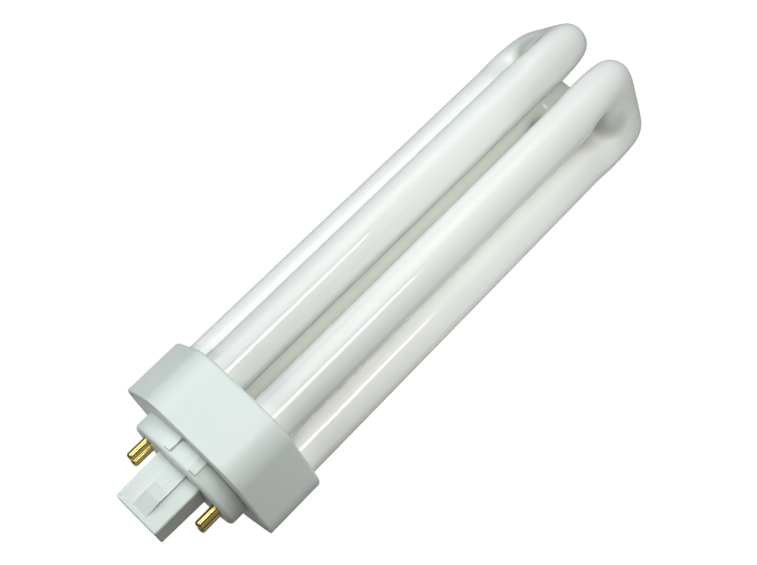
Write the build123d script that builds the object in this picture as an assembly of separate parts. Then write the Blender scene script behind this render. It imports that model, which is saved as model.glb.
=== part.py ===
from build123d import *

import os
from math import cos, hypot, pi, radians, sin, tan

# A plug-in compact fluorescent lamp: a folded glass discharge tube of six limbs, held in a moulded collar
# on a plug base with a key post and four brass contact pins.
#
# Every piece is drawn upright on the lamp's own axis: zero is the face of the disc that the pins come out of,
# and the tube points to +Z. Each piece is then laid down as the lamp comes to rest, on one flat of its
# collar, with the tube towards +X. All sizes are in millimetres.

# Glass discharge tube
tube_diameter = 12.0
limb_gap = 3.25  # free space between neighbouring limbs, which stand evenly on a circle
rear_pair_angle = 90  # direction of the rear pair of limbs from the lamp's axis
pair_step_angle = 120  # from one pair of limbs to the next
tube_top = 148.5  # crowns of the bends above the face of the disc
bend_height = 15.3  # crown of a bend above the level where its limbs begin to turn
bend_crown_width = 10.5  # the glass is pinched to this width at the crown
bend_squareness = 5.5  # exponent of the bend's outline, where 2 is an ellipse
bend_fullness = 0.7  # squareness of the section at the crown, where 0.55 is an ellipse
bend_steps = 20  # sections that a bend is lofted through
crotch_recess = 2.2  # how far the inner side of each limb draws back into the rounded crotch
crotch_taper = 7.0  # length of limb over which it draws back
crotch_height = 2.4  # top of the crotch above the level where the limbs begin to turn
crotch_squareness = 3.0  # exponent of the crotch's outline, where 2 is an ellipse
crotch_rim_fullness = 0.95  # squareness of the section's inner side at the crown, where 1 is the most
bend_lead_in = 8.0  # upper end of each limb that belongs to the lofted bend, with its taper
lead_in_steps = 8
bridge_diameter = 6.4  # short glass joints between one U and the next
bridge_rise = 7.0  # axis of the bridges above the collar's rim
closed_end_flat = 4.0  # flat left in the middle of a limb's rounded closed end
pinch_width = 10.4  # flattened seal on the two limbs that hold the electrodes
pinch_thickness = 3.0
pinch_length = 3.0
pinch_run = 2.5  # length over which the round limb goes flat

# Collar
gap_flat_cover = 2.95  # plastic outside the glass at the flats between two pairs of limbs
pair_flat_cover = 2.8  # plastic outside the glass at the flats behind a pair of limbs
collar_corner_radius = 9.5
collar_wall = 1.3
collar_top_wall = 2.0
rim_round = 0.8
seat_round = 0.3
limb_clearance = 0.2
socket_wall = 1.1  # ring under the top wall that grips a limb
socket_depth = 2.6
ledge_width = 1.2  # step inside the collar that the base plate is pressed against
ledge_height = 1.0

# Cement that holds the glass
cement_height = 1.4
cement_width = 1.0
cement_clearance = 0.05
cement_to_seal = 0.3  # bare glass between the cement and the end of the round limb

# Base cap
plate_thickness = 2.0
plate_clearance = 0.15
wire_room = 2.5  # free height between the plate and the pinched ends of the glass
disc_height = 5.0
disc_wall = 1.8
disc_floor = 1.8
disc_margin = 0.55  # between the pins' flanges and the disc's wall
disc_round = 1.0
rib_angle = 13.8  # key ribs on the disc's side, to either side of the latch strip
rib_width = 1.85
rib_proud = 0.8
rib_rise = 1.0  # foot of a rib above the face of the disc

# Key post with its latch
post_width = 13.1
post_depth = 16.0
post_length = 13.8
post_side_draft = 0.7
post_face_draft = 4.0
post_corner_radius = 0.5
post_end_round = 0.4
post_wall = 1.6
strip_width = 4.3
strip_proud = 0.7
wedge_proud = 1.5  # height of the wedge's crest above the face of the post
wedge_start = 8.2  # these three are measured from the free end of the post
wedge_crest = 5.6
wedge_tail = 1.4

# Contact pins and lead wires
pin_diameter = 2.27
pin_length = 5.9
pin_end_round = 0.75
pin_row_spacing = 22.5  # from one side of the post to the other
pin_pitch = 6.8  # between the two pins on one side
shank_diameter = 1.5  # thinner part of a pin, riveted through the disc's floor
shank_clearance = 0.03
flange_diameter = 3.8
flange_thickness = 0.8
neck_height = 0.7  # end of the shank that stands above the flange and takes the wire
wire_diameter = 0.6
wire_clearance = 0.1
wire_spacing = 4.4  # between the two wires of one pinched end
wire_depth = 1.2  # how far a wire goes into its pin
wire_bore_bottom = 0.3  # left below the wire's end
wire_bend_share = 0.8  # share of a wire's first run that its bend takes up
wire_turn_radius = 2.5

# Sizes that follow from those above
ellipse_fullness = 4 / 3 * tan(pi / 8)
tube_radius = tube_diameter / 2
limb_pitch = tube_diameter + limb_gap
pair_offset = limb_pitch * cos(radians(30))
gap_flat = pair_offset + tube_radius + gap_flat_cover
pair_flat = pair_offset + tube_radius + pair_flat_cover
seat = disc_height  # underside of the collar
plate_top = seat + plate_thickness
pinch_end = plate_top + wire_room
limb_foot = pinch_end + pinch_length + pinch_run
cement_foot = limb_foot + cement_to_seal
socket_foot = cement_foot + cement_height
collar_ceiling = socket_foot + socket_depth
rim = collar_ceiling + collar_top_wall
bend_base = tube_top - bend_height
bend_foot = bend_base - bend_lead_in
crotch_half_width = limb_gap / 2 + crotch_recess
limb_outside = limb_pitch / 2 + tube_radius
hole_radius = tube_radius + limb_clearance
pin_radius = pin_diameter / 2
shank_radius = shank_diameter / 2
flange_radius = flange_diameter / 2
pin_reach = hypot(pin_row_spacing / 2, pin_pitch / 2)
disc_cavity_radius = pin_reach + flange_radius + disc_margin
disc_radius = disc_cavity_radius + disc_wall
neck_top = disc_floor + flange_thickness + neck_height

# The three pairs of limbs by the direction from the lamp's axis, and the side of a pair that each limb is on
pair_c = rear_pair_angle
pair_a = pair_c + pair_step_angle
pair_b = pair_c - pair_step_angle
limbs = [(pair, side) for pair in (pair_a, pair_b, pair_c) for side in (-1, 1)]
electrode_limbs = [(pair_a, 1), (pair_b, -1)]
bridge_directions = [(pair_a + pair_c) / 2, (pair_b + pair_c) / 2]


def lay_down(shape):
    """Turns a piece from upright on its axis to lying with the tube towards +X."""
    return Plane(origin=(0, 0, 0), x_dir=(0, -1, 0), z_dir=(1, 0, 0)) * shape


def at_limb(pair, side, shape):
    """Moves a shape drawn on the lamp's axis to one limb."""
    return Rot(Z=pair) * Pos(pair_offset, side * limb_pitch / 2) * shape


def disc_between(radius, low, high):
    """Cylinder on the lamp's axis between two levels."""
    return Pos(0, 0, low) * Cylinder(radius, high - low, align=(Align.CENTER, Align.CENTER, Align.MIN))


def six_sided(inset):
    """Collar's outline moved inwards: three flats at the gaps, three behind the pairs, rounded corners."""
    half_step = radians(pair_step_angle / 2)
    flats = [pair_flat - inset, gap_flat - inset] * 3
    corners = []
    for place, flat in enumerate(flats):
        next_flat = flats[(place + 1) % len(flats)]
        here = radians(rear_pair_angle) + place * half_step
        there = here + half_step
        along = (flat - next_flat * cos(half_step)) / sin(half_step) ** 2
        beside = (next_flat - flat * cos(half_step)) / sin(half_step) ** 2
        corners.append((along * cos(here) + beside * cos(there), along * sin(here) + beside * sin(there)))
    outline = Polygon(*corners, align=None)
    return fillet(outline.vertices(), collar_corner_radius - inset)


def prism(inset, low, high):
    """Six-sided prism of the collar's outline between two levels."""
    return extrude(Plane.XY.offset(low) * six_sided(inset), high - low)


def oval(half_length, half_width):
    """Ellipse in four quarters, so that the sections of a loft match corner to corner."""
    radii = half_length, half_width
    return make_face([EllipticalCenterArc((0, 0), *radii, start, arc_size=90) for start in (0, 90, 180, 270)])


def full_oval(half_length, half_width, outer_fullness, inner_fullness):
    """Outline of four quarters, like an ellipse but fuller towards its outer and inner corners."""
    ends = [(half_length, 0), (0, half_width), (-half_length, 0), (0, -half_width)]
    fullnesses = [outer_fullness, inner_fullness, inner_fullness, outer_fullness]
    quarters = []
    for start, end, fullness in zip(ends, ends[1:] + ends[:1], fullnesses):
        leaving = start[0] + fullness * end[0], start[1] + fullness * end[1]
        arriving = end[0] + fullness * start[0], end[1] + fullness * start[1]
        quarters.append(Bezier(start, leaving, arriving, end))
    return make_face(quarters)


def squared_arch(turn, half_width, height, squareness):
    """Distance to a squared arch from the middle of its foot, in the direction of an angle in radians."""
    across = abs(cos(turn)) / half_width
    upward = sin(turn) / height
    return (across ** squareness + upward ** squareness) ** (-1 / squareness)


def bend_section(turn):
    """Section across a U-bend where it has turned by an angle about its crotch, in radians."""
    outside = squared_arch(turn, limb_outside, bend_height, bend_squareness)
    inside = squared_arch(turn, crotch_half_width, crotch_height, crotch_squareness)
    middle = (outside + inside) / 2
    crown_share = sin(turn) ** 2
    half_width = tube_radius + (bend_crown_width / 2 - tube_radius) * crown_share
    outer_fullness = ellipse_fullness + (bend_fullness - ellipse_fullness) * crown_share
    inner_fullness = ellipse_fullness + (crotch_rim_fullness - ellipse_fullness) * crown_share
    plane = Plane(
        origin=(pair_offset, middle * cos(turn), bend_base + middle * sin(turn)),
        x_dir=(0, cos(turn), sin(turn)),
        z_dir=(0, -sin(turn), cos(turn)),
    )
    return plane * full_oval((outside - inside) / 2, half_width, outer_fullness, inner_fullness)


def limb_section(side, level):
    """Section of a limb, round and then drawn back at the crotch, facing the way that the bend runs."""
    share = max(0, 1 - (bend_base - level) / crotch_taper)
    inside = limb_gap / 2 + crotch_recess * share ** 2 * (3 - 2 * share)
    middle = (limb_outside + inside) / 2
    plane = Plane(origin=(pair_offset, side * middle, level), x_dir=(0, side, 0), z_dir=(0, 0, side))
    return plane * oval((limb_outside - inside) / 2, tube_radius)


def u_bend():
    """Pinched bend of one pair of limbs, drawn towards +X, with the upper end of each limb."""
    levels = [bend_foot + bend_lead_in * step / lead_in_steps for step in range(lead_in_steps + 1)]
    turns = [pi * step / bend_steps for step in range(1, bend_steps)]
    sections = [limb_section(1, level) for level in levels]
    sections += [bend_section(turn) for turn in turns]
    sections += [limb_section(-1, level) for level in reversed(levels)]
    return loft(sections)


def closed_limb(bend_end):
    """Limb from an end of a bend down to its own rounded end."""
    limb = extrude(bend_end, bend_foot - limb_foot + pinch_run, dir=(0, 0, -1))
    return fillet(limb.faces().sort_by(Axis.Z)[0].edges(), (tube_diameter - closed_end_flat) / 2)


def pinched_limb(bend_end, pair):
    """Limb from an end of a bend down to a seal pressed flat round the electrode's wires."""
    limb = extrude(bend_end, bend_foot - limb_foot, dir=(0, 0, -1))
    foot = limb.faces().sort_by(Axis.Z)[0]
    seal_place = Pos(foot.center().X, foot.center().Y, limb_foot - pinch_run) * Rot(Z=-pair)
    seal = seal_place * oval(pinch_width / 2, pinch_thickness / 2)
    return limb + loft([foot, seal]) + extrude(seal, pinch_length, dir=(0, 0, -1))


def u_tube(pair):
    """One bend with its two limbs."""
    bend = u_bend()
    pieces = [bend]
    for end in bend.faces().sort_by(Axis.Z)[:2]:
        side = 1 if end.center().Y > 0 else -1
        pieces.append(pinched_limb(end, pair) if (pair, side) in electrode_limbs else closed_limb(end))
    return Rot(Z=pair) * (pieces[0] + pieces[1:])


def bridge(direction):
    """Glass joint between the neighbouring limbs of two pairs."""
    plane = Plane(origin=(pair_offset, 0, rim + bridge_rise), x_dir=(0, 0, 1), z_dir=(0, 1, 0))
    joint = extrude(plane * Circle(bridge_diameter / 2), limb_pitch / 2, both=True)
    return Rot(Z=direction) * joint


def discharge_tube():
    """Whole glass tube: three bends with their limbs, and two bridges, in one sealed piece."""
    tubes = [u_tube(pair) for pair in (pair_a, pair_b, pair_c)]
    return tubes[0] + tubes[1:] + [bridge(direction) for direction in bridge_directions]


def collar():
    """Moulded cup with a round socket for each limb, open towards the base."""
    body = prism(0, seat, rim)
    body = fillet(body.faces().sort_by(Axis.Z)[-1].edges(), rim_round)
    body = fillet(body.faces().sort_by(Axis.Z)[0].edges(), seat_round)
    body -= prism(collar_wall, seat, collar_ceiling)
    ledge_top = plate_top + ledge_height
    ledge = prism(collar_wall, plate_top, ledge_top) - prism(collar_wall + ledge_width, plate_top, ledge_top)
    socket = disc_between(hole_radius + socket_wall, socket_foot, collar_ceiling)
    hole = disc_between(hole_radius, socket_foot, rim)
    body = body + ledge + [at_limb(*limb, socket) for limb in limbs]
    return body - [at_limb(*limb, hole) for limb in limbs]


def tube_cement():
    """A bead of cement round each limb, under its socket and clear of the collar's wall."""
    inner = tube_radius + cement_clearance
    room = prism(collar_wall + cement_clearance, cement_foot, socket_foot)
    bead = disc_between(inner + cement_width, cement_foot, socket_foot)
    bead -= disc_between(inner, cement_foot, socket_foot)
    return Compound([(at_limb(*limb, bead) & room).solid() for limb in limbs])


def post_block(inset, low):
    """Drafted block of the post or of its hollow, from its free end or above it up to the disc's face."""
    def section(level):
        width = post_width + 2 * level * tan(radians(post_side_draft)) - 2 * inset
        depth = post_depth + 2 * level * tan(radians(post_face_draft)) - 2 * inset
        return Plane.XY.offset(level) * RectangleRounded(width, depth, post_corner_radius)

    return loft([section(low), section(0)])


def latch():
    """Strip with a wedge on the front of the post, which a holder's spring snaps behind."""
    def face(level):
        return -post_depth / 2 - level * tan(radians(post_face_draft))

    start, crest, tail = (distance - post_length for distance in (wedge_start, wedge_crest, wedge_tail))
    outline = Polygon(
        (face(0) - strip_proud, 0),
        (face(start) - strip_proud, start),
        (face(crest) - wedge_proud, crest),
        (face(tail), tail),
        (face(tail) + post_wall / 2, tail),
        (face(0) + post_wall / 2, 0),
        align=None,
    )
    return extrude(Plane.YZ * outline, strip_width / 2, both=True)


def key_rib(direction):
    """Raised rib on the disc's side, hanging from the collar."""
    depth = disc_wall / 2 + rib_proud
    rib = Box(depth, rib_width, seat - rib_rise, align=(Align.MAX, Align.CENTER, Align.MIN))
    return Rot(Z=direction) * Pos(disc_radius + rib_proud, 0, rib_rise) * rib


def pin_places():
    """Centres of the pins: two on each side of the post."""
    return [(x * pin_row_spacing / 2, y * pin_pitch / 2) for x in (-1, 1) for y in (-1, 1)]


def base_cap():
    """Plug base: plate in the collar, hollow disc and hollow key post in one moulding."""
    disc = disc_between(disc_radius, 0, seat)
    disc = fillet(disc.edges().sort_by(Axis.Z)[0], disc_round)
    plate = prism(collar_wall + plate_clearance, seat, plate_top)
    post = post_block(0, -post_length)
    post = fillet(post.faces().sort_by(Axis.Z)[0].edges(), post_end_round)
    ribs = [key_rib(middle + side * rib_angle) for middle in (-90, 90) for side in (-1, 1)]
    solid = disc + plate + post + latch() + mirror(latch(), about=Plane.XZ) + ribs
    throat = extrude(post_block(post_wall, post_wall - post_length).faces().sort_by(Axis.Z)[-1], disc_floor)
    solid -= disc_between(disc_cavity_radius, disc_floor, plate_top)
    solid -= post_block(post_wall, post_wall - post_length) + throat
    hole = disc_between(shank_radius + shank_clearance, 0, disc_floor)
    return solid - [Pos(*place) * hole for place in pin_places()]


def contact_pin(place):
    """Brass pin with a rounded end, riveted to the disc by a thinner shank that is bored for its wire."""
    pin = disc_between(pin_radius, -pin_length, 0)
    pin = fillet(pin.edges().sort_by(Axis.Z)[0], pin_end_round)
    pin += disc_between(shank_radius, 0, neck_top)
    pin += disc_between(flange_radius, disc_floor, disc_floor + flange_thickness)
    bore_radius = wire_diameter / 2 + wire_clearance
    pin -= disc_between(bore_radius, neck_top - wire_depth - wire_bore_bottom, neck_top)
    return Pos(*place) * pin


def lead_wire(place):
    """Wire from a pinched end of the glass, across above the plate and down into its pin."""
    x, y = place
    side = 1 if x > 0 else -1
    to_front = y < 0
    seal_x = side * (limb_pitch / 2 + (wire_spacing / 2 if to_front else -wire_spacing / 2))
    cross_level = plate_top + wire_room / 2
    route = [
        (seal_x, -pair_offset, pinch_end),
        (seal_x, -pair_offset, cross_level),
        (x, y, cross_level),
        (x, y, neck_top - wire_depth),
    ]
    first_bend = wire_bend_share * (pinch_end - cross_level)
    path = FilletPolyline(*route, radius=[first_bend, wire_turn_radius])
    start = Plane(origin=route[0], z_dir=(0, 0, -1))
    return sweep(start * Circle(wire_diameter / 2), path)


def main():
    pieces = {
        "discharge_tube": discharge_tube(),
        "collar": collar(),
        "tube_cement": tube_cement(),
        "base_cap": base_cap(),
    }
    for number, place in enumerate(pin_places(), start=1):
        pieces[f"contact_pin_{number}"] = contact_pin(place)
        pieces[f"lead_wire_{number}"] = lead_wire(place)
    os.makedirs("parts", exist_ok=True)
    for name, piece in pieces.items():
        export_step(lay_down(piece), f"parts/{name}.step")


main()
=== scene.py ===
"""Dressed scene of a plug-in compact fluorescent lamp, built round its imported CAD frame."""

import logging
import math
from dataclasses import dataclass, field
from enum import Enum

import bpy
from mathutils import Matrix, Vector


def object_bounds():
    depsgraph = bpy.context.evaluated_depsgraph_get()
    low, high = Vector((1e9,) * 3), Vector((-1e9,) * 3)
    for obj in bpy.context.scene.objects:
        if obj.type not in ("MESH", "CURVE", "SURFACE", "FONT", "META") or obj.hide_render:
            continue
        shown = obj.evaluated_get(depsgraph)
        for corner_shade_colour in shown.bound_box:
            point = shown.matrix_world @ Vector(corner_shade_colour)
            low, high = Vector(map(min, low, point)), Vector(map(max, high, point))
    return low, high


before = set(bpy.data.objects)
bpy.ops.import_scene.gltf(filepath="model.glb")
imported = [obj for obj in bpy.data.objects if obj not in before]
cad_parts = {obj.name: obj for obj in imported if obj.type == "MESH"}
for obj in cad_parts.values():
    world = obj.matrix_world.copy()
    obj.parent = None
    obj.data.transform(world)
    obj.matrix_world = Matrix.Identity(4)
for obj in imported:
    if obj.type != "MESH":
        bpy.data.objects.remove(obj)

CAD_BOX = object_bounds()
LOG = logging.getLogger("lamp")
MM = 0.001

Pair = tuple[float, float]
Triple = tuple[float, float, float]
Socket = bpy.types.NodeSocket

WHITE: Triple = (1.0, 1.0, 1.0)
BLACK: Triple = (0.0, 0.0, 0.0)
RISING: Pair = (0.0, 1.0)
FALLING: Pair = (1.0, 0.0)

# The values between which most of a noise lies.
NOISE_RANGE: Pair = (0.3, 0.7)

# The fine and the slow noise of the shared surface grain.
FINE_NOISE = {"Detail": 3.0, "Roughness": 0.6}
SLOW_NOISE = {"Detail": 2.0, "Roughness": 0.5}

# Where a Mix node that is set to colours has its two colours and its result.
MIX_COLOURS = slice(6, 8)
MIX_RESULT = 2


class Outline(Enum):
    """The outline of an area light."""

    SQUARE = "SQUARE"
    RECTANGLE = "RECTANGLE"
    ELLIPSE = "ELLIPSE"


class Shows(Enum):
    """What a light can be seen in."""

    SHADE = "shade"
    BOTH = "shade and reflections"


class Tree:
    """Short-hand for filling one node tree."""

    def __init__(self, tree: bpy.types.NodeTree) -> None:
        """Keeps the tree that the nodes go into.

        Args:
            tree: A material's, a world's or a group's node tree.
        """
        self.tree = tree

    def add(self, kind: str, **inputs: object) -> bpy.types.Node:
        """Adds a node and sets or links its inputs.

        Args:
            kind: The node's type, without the ShaderNode prefix.
            **inputs: Values or output sockets, by the input's name with underscores for spaces.

        Returns:
            The new node.
        """
        node = self.tree.nodes.new("ShaderNode" + kind)
        for name, value in inputs.items():
            self.feed(node, name.replace("_", " "), value)
        return node

    def feed(self, node: bpy.types.Node, name: str, value: object) -> None:
        """Sets an input to a value, or links an output socket to it.

        Args:
            node: The node that gets the value.
            name: The input's name.
            value: A number, a colour or another node's output socket.
        """
        socket = node.inputs[name]
        if isinstance(value, Socket):
            self.tree.links.new(value, socket)
        else:
            socket.default_value = value

    def coordinates(self, stretch: Triple = (1.0, 1.0, 1.0)) -> Socket:
        """Adds the object's own coordinates, scaled on each axis.

        Args:
            stretch: The pattern's scale along X, Y and Z.

        Returns:
            The vector output.
        """
        source = self.add("TexCoord").outputs["Object"]
        return self.add("Mapping", Vector=source, Scale=stretch).outputs["Vector"]

    def ramp(self, value: Socket, limits: Pair, results: Pair) -> Socket:
        """Maps a range of values to another, clamped.

        Args:
            value: The output socket to map.
            limits: The values that give the first and the second result.
            results: The two results.

        Returns:
            The mapped output.
        """
        node = self.add("MapRange", Value=value)
        for name, number in zip(("From Min", "From Max", "To Min", "To Max"), (*limits, *results)):
            node.inputs[name].default_value = number
        return node.outputs["Result"]

    def tint(self, share: Socket, first: Triple | Socket, second: Triple | Socket) -> Socket:
        """Mixes two colours by a share.

        Args:
            share: Output socket from 0, the first colour, to 1, the second.
            first: Red, green and blue, or an output socket.
            second: Red, green and blue, or an output socket.

        Returns:
            The mixed colour.
        """
        node = self.tree.nodes.new("ShaderNodeMix")
        node.data_type = "RGBA"
        self.tree.links.new(share, node.inputs["Factor"])
        for socket, colour in zip(node.inputs[MIX_COLOURS], (first, second)):
            if isinstance(colour, Socket):
                self.tree.links.new(colour, socket)
            else:
                socket.default_value = (*colour, 1.0)
        return node.outputs[MIX_RESULT]

    def combine(self, operation: str, first: Socket, second: Socket) -> Socket:
        """Works out one value from two.

        Args:
            operation: The Math node's operation.
            first: The first output socket.
            second: The second output socket.

        Returns:
            The result's output socket.
        """
        node = self.tree.nodes.new("ShaderNodeMath")
        node.operation = operation
        self.tree.links.new(first, node.inputs[0])
        self.tree.links.new(second, node.inputs[1])
        return node.outputs[0]

    def measure(self, operation: str, vector: Socket, other: Triple | Vector) -> Socket:
        """Works out one value from a vector that changes and one that doesn't.

        Args:
            operation: The Vector Math node's operation.
            vector: The output socket of the vector that changes.
            other: The vector that doesn't.

        Returns:
            The result's output socket.
        """
        node = self.add("VectorMath", Vector=vector)
        node.operation = operation
        node.inputs[1].default_value = other
        return node.outputs["Value"]

    def nearest(self, point: Socket, places: tuple[Triple, ...]) -> Socket:
        """Measures how far a point is from the nearest of some places.

        Args:
            point: The output socket of the point's coordinates.
            places: The places' coordinates.

        Returns:
            The distance's output socket.
        """
        shortest, *others = [self.measure("DISTANCE", point, place) for place in places]
        for distance in others:
            shortest = self.combine("MINIMUM", shortest, distance)
        return shortest


@dataclass
class SurfaceGrain:
    """Shared node group that gives a surface its fine grain and its slow unevenness, both from 0 to 1."""

    group: bpy.types.NodeTree = field(init=False)

    def __post_init__(self) -> None:
        """Builds the group, with the inputs and outputs that it is known by."""
        self.group = bpy.data.node_groups.new("surface_grain", "ShaderNodeTree")
        sockets = self.group.interface
        sockets.new_socket(name="Vector", in_out="INPUT", socket_type="NodeSocketVector")
        for name in ("Grain Scale", "Cloud Scale"):
            sockets.new_socket(name=name, in_out="INPUT", socket_type="NodeSocketFloat")
        for name in ("Grain", "Cloud"):
            sockets.new_socket(name=name, in_out="OUTPUT", socket_type="NodeSocketFloat")
        tree = Tree(self.group)
        given = self.group.nodes.new("NodeGroupInput").outputs
        sink = self.group.nodes.new("NodeGroupOutput")
        for name, look in (("Grain", FINE_NOISE), ("Cloud", SLOW_NOISE)):
            noise = tree.add("TexNoise", Vector=given["Vector"], Scale=given[name + " Scale"], **look)
            tree.feed(sink, name, noise.outputs["Fac"])

    def place(
        self, tree: Tree, vector: Socket, grain_size: float, cloud_size: float
    ) -> tuple[Socket, Socket]:
        """Places the group in a material.

        Args:
            tree: The material's tree.
            vector: The coordinates that it reads.
            grain_size: The size of its fine pattern, in metres.
            cloud_size: The size of its slow pattern, in metres.

        Returns:
            The output sockets of the grain and the cloud.
        """
        node = tree.tree.nodes.new("ShaderNodeGroup")
        node.node_tree = self.group
        tree.feed(node, "Vector", vector)
        tree.feed(node, "Grain Scale", 1 / grain_size)
        tree.feed(node, "Cloud Scale", 1 / cloud_size)
        return node.outputs["Grain"], node.outputs["Cloud"]


@dataclass(frozen=True)
class Depth:
    """How far light goes into a finish, as constants of its shader."""

    ior: float
    weight: float
    scale: float
    radius: Triple = (1.0, 1.0, 1.0)

    def apply(self, shader: bpy.types.Node) -> None:
        """Sets the constants.

        Args:
            shader: The material's Principled shader.
        """
        shader.inputs["IOR"].default_value = self.ior
        shader.inputs["Subsurface Weight"].default_value = self.weight
        shader.inputs["Subsurface Radius"].default_value = self.radius
        shader.inputs["Subsurface Scale"].default_value = self.scale


@dataclass(frozen=True)
class Relief:
    """How strongly a pattern raises a surface."""

    strength: float
    height: float

    def normal(self, tree: Tree, pattern: Socket) -> bpy.types.Node:
        """Adds the bump.

        Args:
            tree: The material's tree.
            pattern: The pattern's output socket.

        Returns:
            The Bump node, which puts out the normal.
        """
        return tree.add("Bump", Height=pattern, Strength=self.strength, Distance=self.height)


def new_material(name: str) -> tuple[bpy.types.Material, Tree, bpy.types.Node]:
    """Starts a material with one Principled shader.

    Args:
        name: The material's name.

    Returns:
        The material, its Tree and its shader node.
    """
    material = bpy.data.materials.new(name)
    material.use_nodes = True
    return material, Tree(material.node_tree), material.node_tree.nodes["Principled BSDF"]


@dataclass(frozen=True)
class MouldedPlastic:
    """Satin white plastic of the collar and the plug base, with painted shade darkening its corners."""

    light: Triple = (0.80, 0.845, 0.82)
    dark: Triple = (0.775, 0.825, 0.80)
    # Painted shade: colour, reach and openness range of the darkening that ambient occlusion puts into
    # corners and creases.
    corner_shade_colour: Triple = (0.48, 0.51, 0.485)
    corner_shade_reach: float = 0.7 * MM
    corner_shade_openness: Pair = (0.35, 0.85)
    edge_radius: float = 0.12 * MM
    roughness: Pair = (0.36, 0.46)
    grain_size: float = 0.28 * MM
    grain: Relief = Relief(0.35, 0.004 * MM)
    cloud_size: float = 14 * MM
    depth: Depth = Depth(1.5, 0.12, 0.8 * MM, (1.0, 1.0, 0.9))

    def material(self, surface: SurfaceGrain) -> bpy.types.Material:
        """Builds the material.

        Args:
            surface: The shared surface grain.

        Returns:
            The new material.
        """
        material, tree, shader = new_material("moulded_plastic")
        grain, cloud = surface.place(tree, tree.coordinates(), self.grain_size, self.cloud_size)
        # Painted shade: ambient occlusion darkens the colour in corners and creases, where shade falls.
        openness = tree.add("AmbientOcclusion", Distance=self.corner_shade_reach)
        corner_shade_mask = tree.ramp(openness.outputs["AO"], self.corner_shade_openness, FALLING)
        clean = tree.tint(cloud, self.dark, self.light)
        tree.feed(shader, "Base Color", tree.tint(corner_shade_mask, clean, self.corner_shade_colour))
        tree.feed(shader, "Roughness", tree.ramp(cloud, NOISE_RANGE, self.roughness))
        edges = tree.add("Bevel", Radius=self.edge_radius)
        bump = self.grain.normal(tree, grain)
        tree.feed(bump, "Normal", edges.outputs["Normal"])
        tree.feed(shader, "Normal", bump.outputs["Normal"])
        self.depth.apply(shader)
        return material


@dataclass(frozen=True)
class CoatedGlass:
    """Glass with a milky coating on its inside, greyer towards the collar on its upper limbs and in the
    bends, with painted shade in the crotch under each bend.
    """

    thick_coat: Triple = (0.948, 0.95, 0.92)
    thin_coat: Triple = (0.918, 0.925, 0.89)
    grey_coat: Triple = (0.808, 0.81, 0.79)
    # Painted shade: the crotch under each bend is darkened to this colour.
    crotch_shade_colour: Triple = (0.58, 0.60, 0.56)
    # The coat goes greyer towards the collar, only on the upper side of the limbs.
    collar_run: Pair = (24 * MM, 85 * MM)
    upper_height: Pair = (4 * MM, 9 * MM)
    bend_run: Pair = (112 * MM, 140 * MM)
    bend_greyness: float = 0.5
    bend_angles: Triple = (30.0, 150.0, 270.0)
    crotch_level: float = 137.6 * MM
    crotch_offset: float = 14.6 * MM
    crotch_shade_reach: Pair = (3.2 * MM, 5.8 * MM)
    roughness: Pair = (0.03, 0.07)
    cloud_size: float = 22 * MM
    ripple_size: float = 15 * MM
    ripple: Relief = Relief(0.1, 0.01 * MM)
    stretch: Triple = (0.35, 1.0, 1.0)
    depth: Depth = Depth(1.52, 0.15, 1.0 * MM)

    def material(self, surface: SurfaceGrain) -> bpy.types.Material:
        """Builds the material.

        Args:
            surface: The shared surface grain.

        Returns:
            The new material.
        """
        material, tree, shader = new_material("coated_glass")
        ripple, cloud = surface.place(tree, tree.coordinates(self.stretch), self.ripple_size, self.cloud_size)
        coat = tree.ramp(cloud, NOISE_RANGE, RISING)
        white = tree.tint(coat, self.thin_coat, self.thick_coat)
        place = tree.coordinates()
        split = tree.add("SeparateXYZ", Vector=place).outputs
        # Greyer towards the collar and higher up the limbs.
        near_collar_on_top = tree.combine(
            "MULTIPLY",
            tree.ramp(split["X"], self.collar_run, FALLING),
            tree.ramp(split["Z"], self.upper_height, RISING),
        )
        by_bend = tree.ramp(split["X"], self.bend_run, (0.0, self.bend_greyness))
        grey = tree.tint(tree.combine("MAXIMUM", near_collar_on_top, by_bend), white, self.grey_coat)
        # Painted shade: darkens the coat near each crotch, where the bend's overhang casts shade.
        crotch_shade_mask = tree.ramp(tree.nearest(place, self.crotches()), self.crotch_shade_reach, FALLING)
        tree.feed(shader, "Base Color", tree.tint(crotch_shade_mask, grey, self.crotch_shade_colour))
        tree.feed(shader, "Roughness", tree.ramp(cloud, NOISE_RANGE, self.roughness))
        tree.feed(shader, "Normal", self.ripple.normal(tree, ripple).outputs["Normal"])
        self.depth.apply(shader)
        return material

    def crotches(self) -> tuple[Triple, ...]:
        """Finds the crotches under the three bends.

        Returns:
            The coordinates of each crotch's middle.
        """
        return tuple(
            (self.crotch_level, self.crotch_offset * math.cos(angle), self.crotch_offset * math.sin(angle))
            for angle in map(math.radians, self.bend_angles)
        )


@dataclass(frozen=True)
class DrawnMetal:
    """Metal drawn along the lamp's axis, with fine lines and a little tarnish."""

    name: str
    bright: Triple
    tarnished: Triple
    roughness: Pair
    line_size: float = 0.22 * MM
    lines: Relief = Relief(0.05, 0.0004 * MM)
    stretch: Triple = (0.04, 1.0, 1.0)
    tarnish_size: float = 2.6 * MM
    tarnish_range: Pair = (0.42, 0.72)

    def material(self, surface: SurfaceGrain) -> bpy.types.Material:
        """Builds the material.

        Args:
            surface: The shared surface grain.

        Returns:
            The new material.
        """
        material, tree, shader = new_material(self.name)
        lines, cloud = surface.place(tree, tree.coordinates(self.stretch), self.line_size, self.tarnish_size)
        tarnish = tree.ramp(cloud, self.tarnish_range, RISING)
        tree.feed(shader, "Base Color", tree.tint(tarnish, self.bright, self.tarnished))
        tree.feed(shader, "Roughness", tree.ramp(lines, NOISE_RANGE, self.roughness))
        tree.feed(shader, "Normal", self.lines.normal(tree, lines).outputs["Normal"])
        shader.inputs["Metallic"].default_value = 1.0
        return material


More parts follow.
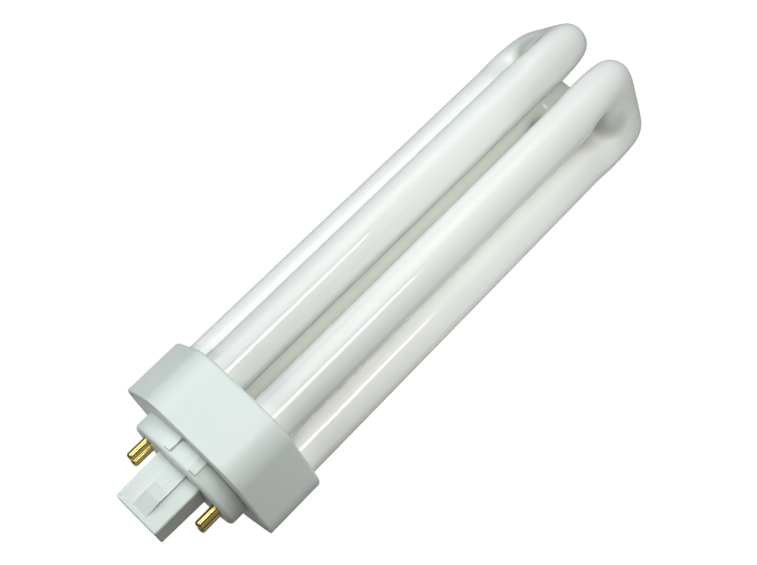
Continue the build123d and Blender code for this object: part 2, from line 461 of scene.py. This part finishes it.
@dataclass(frozen=True)
class SetCement:
    """Grainy matte cement that holds the glass in its sockets."""

    light: Triple = (0.62, 0.60, 0.53)
    dark: Triple = (0.45, 0.43, 0.37)
    roughness: float = 0.9
    grain_size: float = 0.35 * MM
    grain: Relief = Relief(0.8, 0.05 * MM)
    cloud_size: float = 3.0 * MM

    def material(self, surface: SurfaceGrain) -> bpy.types.Material:
        """Builds the material.

        Args:
            surface: The shared surface grain.

        Returns:
            The new material.
        """
        material, tree, shader = new_material("set_cement")
        grain, _ = surface.place(tree, tree.coordinates(), self.grain_size, self.cloud_size)
        tree.feed(shader, "Base Color", tree.tint(grain, self.dark, self.light))
        tree.feed(shader, "Normal", self.grain.normal(tree, grain).outputs["Normal"])
        shader.inputs["Roughness"].default_value = self.roughness
        return material


@dataclass
class Dressing:
    """CAD nodes of one sub-assembly that keep their shape and get a finish."""

    label: str
    nodes: list[str]
    finish: MouldedPlastic | CoatedGlass | DrawnMetal | SetCement

    def dress(self, surface: SurfaceGrain) -> None:
        """Makes the finish's material and gives it to each node.

        Args:
            surface: The shared surface grain.
        """
        material = self.finish.material(surface)
        for name in self.nodes:
            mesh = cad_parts[name].data
            mesh.materials.clear()
            mesh.materials.append(material)
        LOG.info("%s dressed: %s", self.label, ", ".join(self.nodes))


def numbered(stem: str, count: int = 4) -> list[str]:
    """Lists the names of nodes that differ by a number.

    Args:
        stem: What the names start with.
        count: How many there are.

    Returns:
        The names, counted from 1.
    """
    return [f"{stem}_{number}" for number in range(1, count + 1)]


@dataclass
class Lamp:
    """The whole lamp, as its sub-assemblies with their finishes."""

    parts: tuple[Dressing, ...] = (
        Dressing("plastic", ["collar", "base_cap"], MouldedPlastic()),
        Dressing("glass", ["discharge_tube"], CoatedGlass()),
        Dressing("cement", ["tube_cement"], SetCement()),
        Dressing(
            "pins",
            numbered("contact_pin"),
            DrawnMetal("drawn_brass", (0.64, 0.51, 0.18), (0.56, 0.44, 0.14), (0.12, 0.18)),
        ),
        Dressing(
            "wires",
            numbered("lead_wire"),
            DrawnMetal("nickel_wire", (0.72, 0.69, 0.63), (0.48, 0.45, 0.40), (0.2, 0.4)),
        ),
    )

    def dress(self) -> None:
        """Dresses each sub-assembly, with one surface grain for all of them."""
        surface = SurfaceGrain()
        for part in self.parts:
            part.dress(surface)


@dataclass
class PhotoCamera:
    """Camera where the photograph was taken, by its place round the lamp's axis."""

    distance: float = 289.26 * MM
    round_axis: float = 11.16
    towards_plug: float = 16.12 * MM
    pitch_to_tips: float = 15.97
    axis_slope: float = 44.67
    yaw: float = 0.04
    roll: float = 0.07
    focal_pixels: float = 1214.3
    image_width: float = 757.0
    sensor_width: float = 36.0
    clip_start: float = 10 * MM

    def build(self) -> None:
        """Makes the camera and sets it as the scene's own."""
        around = math.radians(self.round_axis)
        outward = Vector((0.0, -math.sin(around), math.cos(around)))
        axis = Vector((1.0, 0.0, 0.0))
        inward = Matrix.Rotation(math.radians(self.yaw), 3, axis) @ -outward
        pitch = math.radians(self.pitch_to_tips)
        forward = inward * math.cos(pitch) + axis * math.sin(pitch)
        upright = axis * math.cos(pitch) - inward * math.sin(pitch)
        tilt = math.radians(90.0 - self.axis_slope + self.roll)
        side = forward.cross(upright)
        up = upright * math.cos(tilt) - side * math.sin(tilt)
        right = forward.cross(up)
        data = bpy.data.cameras.new("photo_camera")
        data.sensor_fit = "HORIZONTAL"
        data.sensor_width = self.sensor_width
        data.lens = self.focal_pixels * self.sensor_width / self.image_width
        data.clip_start = self.clip_start
        camera = bpy.data.objects.new("photo_camera", data)
        place = outward * self.distance - axis * self.towards_plug
        turn = Matrix((right, up, -forward)).transposed().to_4x4()
        camera.matrix_world = Matrix.Translation(place) @ turn
        bpy.context.scene.collection.objects.link(camera)
        bpy.context.scene.camera = camera


@dataclass(frozen=True)
class SoftLight:
    """One area light that the camera never sees, by its direction from what it aims at.

    Lengths are in millimetres. A light that isn't square has its size along the lamp's axis.
    """

    name: str
    azimuth: float
    elevation: float
    power: float
    distance: float = 800.0
    size: float = 220.0
    width: float = 220.0
    outline: Outline = Outline.SQUARE
    shows: Shows = Shows.SHADE
    aim: Triple = (40.0, 0.0, 0.0)
    colour: Triple = WHITE

    def build(self) -> None:
        """Adds the light."""
        azimuth, elevation = math.radians(self.azimuth), math.radians(self.elevation)
        level = math.cos(elevation)
        outward = Vector((level * math.cos(azimuth), level * math.sin(azimuth), math.sin(elevation)))
        data = bpy.data.lights.new(self.name, "AREA")
        data.shape = self.outline.value
        data.size = self.size * MM
        data.size_y = self.width * MM
        data.energy = self.power
        data.color = self.colour
        light = bpy.data.objects.new(self.name, data)
        light.location = (Vector(self.aim) + outward * self.distance) * MM
        light.rotation_euler = (-outward).to_track_quat("-Z", "Y").to_euler()
        light.visible_glossy = self.shows is Shows.BOTH
        light.visible_camera = False
        bpy.context.scene.collection.objects.link(light)


@dataclass(frozen=True)
class RoundPatch:
    """Bright round patch of the room that only shows in reflections."""

    towards: Triple
    spread: Pair
    strength: float

    def brightness(self, tree: Tree, view: Socket) -> Socket:
        """Gives the patch's brightness in each direction.

        Args:
            tree: The world's tree.
            view: The direction that a reflection looks in.

        Returns:
            The brightness's output socket.
        """
        edge, middle = (math.cos(math.radians(angle)) for angle in self.spread)
        closeness = tree.measure("DOT_PRODUCT", view, Vector(self.towards).normalized())
        return tree.ramp(closeness, (edge, middle), (0.0, self.strength))


# The key light, which also gives the long streaks on the glass.
KEY = SoftLight(
    "key", -90.0, 79.1, 0.235, 299.0, 160.0, 60.0, Outline.ELLIPSE, Shows.BOTH,
    aim=(78.0, 0.0, 0.0), colour=(1.02, 1.0, 0.95),
)

# Soft light from the room.
ROOM_LIGHTS = (
    SoftLight("overhead", 0.0, 90.0, 2.6, size=420.0, width=420.0, colour=(0.99, 1.0, 0.97)),
    SoftLight("plug_left", 135.0, 15.0, 1.75, colour=(0.99, 1.0, 0.97)),
    SoftLight("left", 90.0, 50.0, 1.4, colour=(0.83, 1.0, 1.1)),
    SoftLight("tips", 0.0, 35.0, 0.6, colour=(0.8, 1.0, 1.08)),
    SoftLight(
        "right_card", -90.0, 5.0, 0.014, 70.0, 110.0, 40.0, Outline.RECTANGLE,
        aim=(95.0, 0.0, 0.0), colour=(0.93, 1.0, 0.98),
    ),
)

# Weak light close to the limbs, in place of what comes through the milky glass.
GLASS_LIGHTS = (
    SoftLight(
        "through_glass", 0.0, 90.0, 0.00132, 3.0, 122.0, 6.0, Outline.RECTANGLE,
        aim=(87.0, 0.0, 0.0), colour=(0.93, 1.0, 0.81),
    ),
    SoftLight(
        "through_left", -90.0, 60.0, 0.0003, 1.0, 96.0, 4.0, Outline.RECTANGLE,
        aim=(74.0, 11.4, 6.6), colour=(0.96, 1.0, 0.9),
    ),
    SoftLight(
        "through_right", 90.0, 60.0, 0.0003, 1.0, 96.0, 4.0, Outline.RECTANGLE,
        aim=(74.0, -11.4, 6.6), colour=(0.92, 1.0, 1.0),
    ),
    SoftLight(
        "left_flank", -90.0, -10.0, 0.0008, 9.0, 96.0, 3.0, Outline.RECTANGLE,
        aim=(70.0, 4.8, 22.6), colour=(0.98, 1.0, 0.97),
    ),
)


@dataclass
class Studio:
    """Pale floor, soft light and white surroundings."""

    floor_size: float = 3.0
    white_seen: float = 1.02
    floor_bounce: Triple = (0.36, 0.355, 0.32)
    floor_mirrored: float = 0.3
    room_mirrored: float = 0.12
    patches: tuple[RoundPatch, ...] = (
        RoundPatch((0.0, 0.56, 0.83), (34.0, 20.0), 2.0),
        RoundPatch((0.0, -0.95, 0.30), (9.0, 5.0), 0.9),
    )
    lights: tuple[SoftLight, ...] = (KEY, *ROOM_LIGHTS, *GLASS_LIGHTS)

    def build(self) -> None:
        """Sets the world, the floor and the lights."""
        scene = bpy.context.scene
        scene.view_settings.view_transform = "Standard"
        scene.view_settings.look = "None"
        self.surroundings(scene)
        self.floor()
        for light in self.lights:
            light.build()

    def by_ray(self, tree: Tree, mirrored: float | Socket) -> Socket:
        """Gives white to the camera, another strength to reflections and none to other rays.

        Args:
            tree: The tree that gets the nodes.
            mirrored: The strength in reflections, as a number or an output socket.

        Returns:
            The strength's output socket.
        """
        path = tree.add("LightPath").outputs
        gloss = tree.add("Mix", Factor=path["Is Glossy Ray"], A=0.0, B=mirrored)
        node = tree.add("Mix", Factor=path["Is Camera Ray"], A=gloss.outputs["Result"], B=self.white_seen)
        return node.outputs["Result"]

    def surroundings(self, scene: bpy.types.Scene) -> None:
        """Fills the world with an even white, and shows bright patches of a room in reflections.

        Args:
            scene: The scene whose world is set.
        """
        world = bpy.data.worlds.new("white_room")
        world.use_nodes = True
        tree = Tree(world.node_tree)
        back = world.node_tree.nodes["Background"]
        back.inputs["Color"].default_value = (*WHITE, 1.0)
        view = tree.add("TexCoord").outputs["Generated"]
        mirrored = tree.add("Value").outputs["Value"]
        mirrored.default_value = self.room_mirrored
        for patch in self.patches:
            mirrored = tree.combine("ADD", mirrored, patch.brightness(tree, view))
        tree.feed(back, "Strength", self.by_ray(tree, mirrored))
        scene.world = world

    def floor(self) -> None:
        """Lays the floor under the lamp: white to the camera, a duller bounce to the lamp."""
        bpy.ops.object.select_all(action="DESELECT")
        bpy.ops.mesh.primitive_plane_add(size=self.floor_size, location=(0.0, 0.0, CAD_BOX[0][2]))
        floor = bpy.context.object
        floor.name = "floor"
        material = bpy.data.materials.new("pale_floor")
        material.use_nodes = True
        nodes, links = material.node_tree.nodes, material.node_tree.links
        nodes.remove(nodes["Principled BSDF"])
        tree = Tree(material.node_tree)
        path = tree.add("LightPath").outputs
        bounce = tree.add("BsdfDiffuse", Color=tree.tint(path["Is Diffuse Ray"], BLACK, self.floor_bounce))
        glow = tree.add("Emission", Color=(*WHITE, 1.0), Strength=self.by_ray(tree, self.floor_mirrored))
        both = tree.add("AddShader")
        links.new(bounce.outputs[0], both.inputs[0])
        links.new(glow.outputs[0], both.inputs[1])
        links.new(both.outputs[0], nodes["Material Output"].inputs["Surface"])
        floor.data.materials.append(material)


def main() -> None:
    """Builds the lamp's dressing, its studio and its camera."""
    logging.basicConfig(level=logging.INFO, format="%(name)s: %(message)s")
    Lamp().dress()
    Studio().build()
    PhotoCamera().build()


if __name__ == "__main__":
    main()
